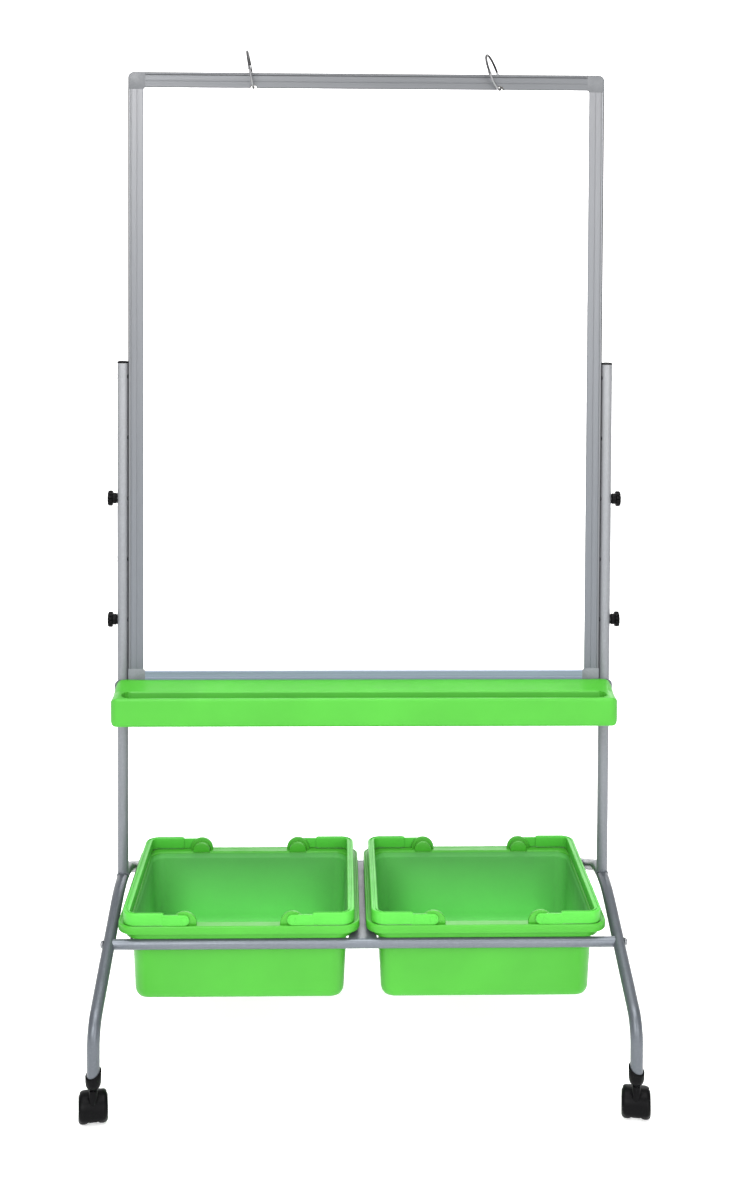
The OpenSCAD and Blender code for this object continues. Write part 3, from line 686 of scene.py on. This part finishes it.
def tubs():
    stations = [
        (303.4, 250.4, 14, 106.2), (309, 256, 16, 106.6), (315, 262, 17.5, 108.4),
        (319.4, 266.4, 19, 111.8), (322, 269, 19.6, 115.5), (323.4, 270.4, 20, 120),
        (332.1, 279.1, 24, 207.4), (333.2, 280.2, 24.4, 209.6),
        (335.4, 283.2, 24, 210.5), (347, 303.6, 24, 210.3), (349.2, 305.6, 24.6, 210.7),
        (350, 306.4, 25, 211.8), (350.2, 306.6, 25, 226), (352, 308, 25.4, 228.4),
        (364.6, 312.8, 25.6, 229), (366.6, 314.6, 25.8, 228), (366.8, 314.8, 26, 221.2),
        (367.6, 315.6, 26.4, 220.2), (369, 317, 27, 219.9), (371, 319, 27.8, 220.1),
        (372, 320, 28, 221), (371.8, 319.8, 28, 230.2), (371.1, 319.1, 27.8, 231.6),
        (369.4, 317.4, 27.2, 232.4), (366.6, 314.6, 26.4, 232.6), (365.2, 313.2, 26, 231.9),
        (363.6, 311.6, 25.6, 231.7), (338, 285.2, 23.4, 231.8), (335.4, 282.4, 23, 231.6),
        (333.4, 280.2, 22.4, 230.5), (332.4, 279.3, 22, 228.6), (331.2, 278.2, 22, 223.4),
        (329.6, 276.8, 22, 222.4), (328.6, 276, 21.8, 220.6), (319.6, 266.6, 18.4, 124),
        (317.6, 264.6, 17.6, 117.6), (314.4, 261.4, 16.6, 112.8), (308, 255, 15, 109.4),
        (300, 247, 13, 108.3)]
    inside_x, inside_y, inside_top = 170, 141, 228.5
    for side, sx in SIDES:
        cx = sx * TUB_X - TUB_SHIFT
        bm = bmesh.new()
        loft(bm, [[(cx + x, y, z) for x, y in rounded(w + 5, d, r, 9)]
                  for w, d, r, z in stations])
        for px in (-PIVOT_X, PIVOT_X):
            for sy in (-1, 1):
                ear(bm, cx + px, sy * 148.1, sy * 153.7, 19.5, 1.1)
                ear(bm, cx + px, sy * 137.4, sy * 149, 14.4, 1.2)
        body = piece("Tub_" + side, bm, ["tub_" + side], sharp=40)
        # The inside faces take the inside plastic with its painted light and shade.
        recolour(body, MATS["green_inside_painted_light_and_shade"], lambda c, n: (
            abs(c.x - cx) < inside_x and abs(c.y) < inside_y and c.z < inside_top
            and Vector((cx - c.x, -c.y, 30)).dot(n) > 0))
        handle(side, "outer", cx, sx)
        handle(side, "inner", cx, -sx)


# ---- Marker tray ----

def tray():
    """One shell: a closed section carried along X, with the trough filled in at both ends."""
    half, base, top, lip, front = 406.0, 521.0, 577.0, 567.0, -88.0
    floor, ledge = base + 20, 568.5

    def crest(y):
        """Height of the sloping ledge, and of the ends beyond the trough, over a depth."""
        if y > -17:
            return top
        if y > -50:
            return top + (ledge - top) * (-17 - y) / 33
        return ledge + (lip - ledge) * (-50 - y) / 34

    trough = ([(-11, top - 0.8), (-11.4, top - 0.2), (-12.2, top), (-15, top), (-17, top - 0.2)]
              + [(-19 - 3.6 * i, crest(-19 - 3.6 * i)) for i in range(9)]
              + [(-50, ledge - 0.25), (-50.9, ledge - 1), (-51.5, ledge - 2.4),
                 (-53, floor + 8), (-54.6, floor + 3.6), (-58, floor + 0.7), (-61.5, floor),
                 (-66, floor), (-70.5, floor), (-74.4, floor + 0.8), (-77.4, floor + 3.6),
                 (-79, floor + 8), (-81, lip - 3), (-81.5, lip - 1.2), (-82.4, lip - 0.2),
                 (-84, lip)])
    outside = [(-85.4, lip - 0.25), (-86.8, lip - 1.2), (-87.7, lip - 2.8), (front, lip - 5),
               (front, base + 30), (front, base + 14), (front, base + 6), (-87.6, base + 3.6),
               (-86.4, base + 1.5), (-84.6, base + 0.3), (-83.5, base)]
    under = [(-82.9, base + 0.4), (-82.8, floor - 3.2), (-56, floor - 3.2), (-50.6, floor - 1),
             (-47, ledge - 5), (-14.6, top - 6.5), (-14.4, base + 0.4), (-14, base),
             (-11.6, base), (-11, base + 0.6)]
    stations = [0.0, 0.35, 1.0, 2.0, 3.4, 5.2, 7.5, 10.0, 12.5, 14.6]
    stations += [14.6 + 0.8 * k for k in range(1, 28)]

    def corner(d, r):
        """How far a corner of radius r has drawn in at a distance d from the end."""
        return r - math.sqrt(max(0.0, r * r - (r - d) ** 2)) if d < r else 0.0

    rows = []
    for d in stations:
        ft, tt, bt = corner(d, 14), corner(d, 11), corner(d, 12)
        row = []
        for y, z in trough:
            high = crest(y)
            off = min(1.0, abs(y + 66) / 16)
            begin = 16 + 15 * (1 - math.sqrt(1 - off * off))
            t = max(0.0, min(1.0, (d - begin) / 3.5))
            sink = t * t * (3 - 2 * t)
            z = high - (high - z) * sink if z < high else high
            row.append((y, z))
        depth = max(0.0, min(1.0, (d - 15) / 5))
        row += outside
        row += [(y, base + (z - base) * depth if z > base else z) for y, z in under]
        shaped = []
        for y, z in row:
            y = max(y, front + ft)
            mid = (top + base) / 2
            z = min(z, crest(y) - tt) if z > mid else max(z, base + bt)
            shaped.append((y, z))
        rows.append((d, shaped))
    loops = [[(-half + d, y, z) for y, z in row] for d, row in rows]
    loops += [[(x, y, z) for y, z in rows[-1][1]] for x in (-250, -120, 0, 120, 250)]
    loops += [[(half - d, y, z) for y, z in row] for d, row in reversed(rows)]
    bm = bmesh.new()
    loft(bm, loops)
    bmesh.ops.remove_doubles(bm, verts=bm.verts, dist=0.001)
    obj = piece("Marker_tray", bm, ["marker_tray"], sharp=38)
    # The trough's inside takes the darker green: painted shade in the recess.
    recolour(obj, MATS["green_trough_painted_shade"], lambda c, n: (
        abs(c.x) < 390 and -81.2 < c.y < -50.6 and floor - 1 < c.z < lip - 1.5))


# ---- Board frame ----

def frame_section():
    """(inward, through) points of the extrusion, counter-clockwise, with its beads and grooves."""
    h = FRAME_T / 2
    face = [(0, h - 1.9), (0.25, h - 1.1), (0.8, h - 0.45), (1.7, h - 0.05), (2.4, h + 0.15),
            (3.2, h + 0.1), (3.9, h - 0.15), (4.2, h - 0.8), (4.9, h - 0.85), (5.3, h - 0.2),
            (6.1, h - 0.02), (14.0, h), (14.3, h - 0.3), (14.7, h - 0.3), (15.0, h), (22.3, h),
            (23.3, h + 0.12), (24.2, h + 0.02), (24.8, h - 0.45), (FRAME_FACE, h - 1.1),
            (FRAME_FACE, h - 1.45)]
    slot = [(8, 0.2), (8, 5.9), (2.6, 6.0), (2.5, 3.3), (0.3, 3.3), (0, 3.6)]
    upper = slot + face + [(11, h - 1.45)]
    lower = [(u, -v) for u, v in reversed(upper)]
    return upper + lower


def frame_members():
    section = frame_section()
    half_w, low, high = BOARD_W / 2, BOARD_Z, BOARD_TOP
    span = half_w - CORNER + 0.6
    for name, edge, sz in (("top_rail", high, -1), ("bottom_rail", low, 1)):
        bm = bmesh.new()
        loft(bm, [[(x, v, edge + sz * u) for u, v in section] for x in (-span, 0, span)])
        obj = piece(name.capitalize(), bm, [name], MATS["cross_alloy_painted_light_and_shade"])
        # The rails' outer edge and groove take the near-black alloy: painted shade.
        recolour(obj, MATS["edge_alloy_painted_shade"],
                 lambda c, n: abs(c.z - edge) < 1.75 or 4.0 < abs(c.z - edge) < 5.1)
        if name == "top_rail":
            tools = []
            for _, x in RING_XS:
                hole = bmesh.new()
                lathe(hole, [(5.4, -20), (5.4, 20)],
                      lambda a, b, c: (x + a, c, RING_HOLE_Z + b), 40)
                bmesh.ops.scale(hole, vec=(MM, MM, MM), verts=hole.verts)
                tools.append(mesh_object("Hole_tool", hole))
            cut(obj, tools)
    for side, sx in SIDES:
        bm = bmesh.new()
        zs = (low + CORNER - 0.6, (low + high) / 2, high - CORNER + 0.6)
        loft(bm, [[(sx * (half_w - u), v, z) for u, v in section] for z in zs])
        obj = piece("Stile_" + side, bm, [side + "_stile"])
        # The stile's outermost edge takes the near-black alloy: painted shade.
        recolour(obj, MATS["edge_alloy_painted_shade"], lambda c, n: abs(c.x) > half_w - 1.3)
        # The stile's bead takes the lighter alloy: painted highlight.
        recolour(obj, MATS["bead_alloy_painted_highlight"], lambda c, n: 1.3 < half_w - abs(c.x) < 3.6)
    thick = FRAME_T / 2 + 0.4
    outline = (arc(10, 10, 10, 180, 270, 10) + [(CORNER, 0)]
               + arc(CORNER, CORNER, CORNER - FRAME_FACE, 270, 180, 6) + [(0, CORNER)])
    bm = bmesh.new()
    for sx in (-1, 1):
        for top in (0, 1):
            z0 = high if top else low
            sz = -1 if top else 1
            prism(bm, outline, lambda u, v, w: (sx * (half_w - u), w, z0 + sz * v),
                  -thick, thick, 1.6)
    obj = piece("Board_corners", bm, ["board_corners"], sharp=40)
    # The corner pieces' sides take the near-black plastic: painted shade.
    recolour(obj, MATS["corner_edge_painted_shade"], lambda c, n: abs(n.y) < 0.9)


# ---- Knobs, caps and rings ----

def knobs():
    for side, sx in SIDES:
        for level, z in KNOB_LEVELS:
            bm = bmesh.new()
            x0 = POST_X + POST_R + WASHER_T
            hub = [(3.05, 0), (7.8, 0), (8.8, 0.5), (9, 1.4), (8.7, 5.6)]
            head = [(9.6, 6.1), (11.4, 6.2), (12.2, 6.7), (12.5, 7.6), (12.5, 11.4), (12.2, 12.6),
                    (11.3, 13.5), (9.8, 13.7), (8.6, 13.4), (8.0, 12.9), (0.3, 12.6)]

            def flute(angle, r):
                if r < 9.4:
                    return r
                wave = max(0.0, math.cos(10 * angle)) ** 2
                return r - 1.9 * wave * min(1.0, (r - 9.4) / 2)

            lathe(bm, hub + head, lambda u, v, h: (sx * (x0 + h), u, z + v), 120, flute)
            piece("Knob_%s_%s" % (side, level), bm, ["knob_%s_%s" % (side, level)])


def caps():
    for side, sx in SIDES:
        bm = bmesh.new()
        profile = [(7.7, 1085), (7.8, 1095.6), (9.2, 1095.9), (9.5, 1096.4), (9.4, 1097.2),
                   (8.6, 1098.4), (7, 1099.1), (4, 1099.5), (0.3, 1099.6)]
        lathe(bm, profile, lambda u, v, h: (sx * POST_X + u, v, h), 40)
        piece("Post_cap_" + side, bm, ["post_caps"])


def rings():
    """Binder rings: two half hoops of wire that meet behind and hinge on a pin in front."""
    radius, wire = 30.0, 1.85
    for (name, x), lean, turn in zip(RING_XS, (-9.8, -20.4), (0.0, -18.5)):
        spot = (Matrix.Translation((x, 0, RING_HOLE_Z + 0.3))
                @ Matrix.Rotation(math.radians(lean), 4, "Y")
                @ Matrix.Rotation(math.radians(turn), 4, "Z") @ Matrix.Translation((0, 0, radius)))
        across = spot.to_3x3() @ Vector((1, 0, 0))
        for kind, a0, a1 in (("hoop", 184.5, 359.6), ("gate", 0.4, 175.5)):
            bm = bmesh.new()
            n = 48
            path = [spot @ Vector((0, radius * math.cos(math.radians(a0 + (a1 - a0) * i / n)),
                                   radius * math.sin(math.radians(a0 + (a1 - a0) * i / n))))
                    for i in range(n + 1)]
            sweep(bm, path, wire, across, 16)
            if kind == "hoop":
                parts = ((0.95, 2.6), (-2.6, -0.95))
            else:
                parts = ((-0.8, 0.8),)
            for lo, hi in parts:
                prism(bm, arc(-radius, 0, 3.1, 0, 345, 23),
                      lambda u, v, w: spot @ Vector((w, u, v)), lo, hi, 0.35)
            # The hoop takes the brighter steel, the gate the darker: painted reflection on the
            # hoop.
            piece("Ring_%s_%s" % (name, kind), bm, ["ring_%s_%s" % (name, kind)],
                  MATS["ring_painted_reflection" if kind == "hoop" else "ring_steel"])


side_tubes()
hole_rims()
cups()
rails()
casters()
tubs()
tray()
frame_members()
knobs()
caps()
rings()


# ---- Floor, lights and camera ----

def make_floor():
    bm = bmesh.new()
    bmesh.ops.create_circle(bm, cap_ends=True, radius=5.5, segments=96)
    floor = mesh_object("Floor", bm, floor_paint("Floor_paint", (0.93, 0.93, 0.93)))
    floor.location.z = -0.0005


def area_light(name, place, aim, size, energy, colour=(1, 1, 1)):
    data = bpy.data.lights.new(name, "AREA")
    data.shape = "RECTANGLE"
    data.size, data.size_y = size
    data.energy = energy
    data.color = colour
    light = put(bpy.data.objects.new(name, data))
    light.location = place
    light.rotation_mode = "QUATERNION"
    light.rotation_quaternion = (Vector(aim) - Vector(place)).to_track_quat("-Z", "Y")


def make_light():
    """A white studio, darker overhead and at the sides so that round edges read, and soft boxes."""
    world = bpy.data.worlds.new("Studio")
    bpy.context.scene.world = world
    world.use_nodes = True
    tree = world.node_tree
    back = tree.nodes["Background"]
    coords = tree.nodes.new("ShaderNodeTexCoord")
    split = tree.nodes.new("ShaderNodeSeparateXYZ")
    tree.links.new(coords.outputs["Generated"], split.inputs["Vector"])

    def fall(value, start, end, low):
        ramp = tree.nodes.new("ShaderNodeMapRange")
        ramp.interpolation_type = "SMOOTHSTEP"
        for key, number in (("From Min", start), ("From Max", end),
                            ("To Min", 1.0), ("To Max", low)):
            ramp.inputs[key].default_value = number
        tree.links.new(value, ramp.inputs["Value"])
        return ramp.outputs["Result"]

    def times(a, b, op="MULTIPLY"):
        node = tree.nodes.new("ShaderNodeMath")
        node.operation = op
        tree.links.new(a, node.inputs[0])
        if hasattr(b, "links"):
            tree.links.new(b, node.inputs[1])
        else:
            node.inputs[1].default_value = b
        return node.outputs["Value"]

    side = times(split.outputs["X"], 0.0, "ABSOLUTE")
    level = times(fall(split.outputs["Z"], 0.3, 0.8, 0.4), fall(side, 0.4, 0.9, 0.22))
    tree.links.new(times(level, 1.9), back.inputs["Strength"])
    back.inputs["Color"].default_value = (1, 1, 1, 1)
    area_light("Key_softbox", (-1.3, -3.3, 2.6), (0, 0, 0.7), (2.0, 2.2), 120)
    area_light("Fill_softbox", (1.5, -3.2, 1.8), (0, 0, 0.7), (1.8, 2.4), 60)
    area_light("Top_softbox", (0.0, -0.7, 4.4), (0, -0.2, 0), (3.4, 3.0), 230)
    area_light("Rear_softbox", (0.6, 3.4, 2.8), (0, 0, 0.8), (2.4, 2.0), 60)
    bpy.context.scene.view_settings.view_transform = "Standard"


def make_camera():
    """The photograph's camera: its place in metres, its turns in degrees, and its lens shift."""
    place, turns = (-0.0431, -2.4504, 1.2540), (1.36, 1.71, 0.28)
    data = bpy.data.cameras.new("Camera")
    cam = put(bpy.data.objects.new("Camera", data))
    data.sensor_width = 36
    data.sensor_fit = "AUTO"
    data.lens = 44.86
    data.shift_x = -0.0056
    data.shift_y = -0.24
    data.clip_start = 0.05
    data.clip_end = 60
    yaw, pitch, roll = (math.radians(a) for a in turns)
    forward = Vector((math.sin(yaw) * math.cos(pitch), math.cos(yaw) * math.cos(pitch),
                      -math.sin(pitch)))
    right = Vector((math.cos(yaw), -math.sin(yaw), 0))
    up = right.cross(forward)
    r = math.cos(roll) * right + math.sin(roll) * up
    u = math.cos(roll) * up - math.sin(roll) * right
    turn = Matrix((r, u, -forward)).transposed()
    cam.matrix_world = Matrix.Translation(place) @ turn.to_4x4()
    bpy.context.scene.camera = cam


make_floor()
make_light()
make_camera()
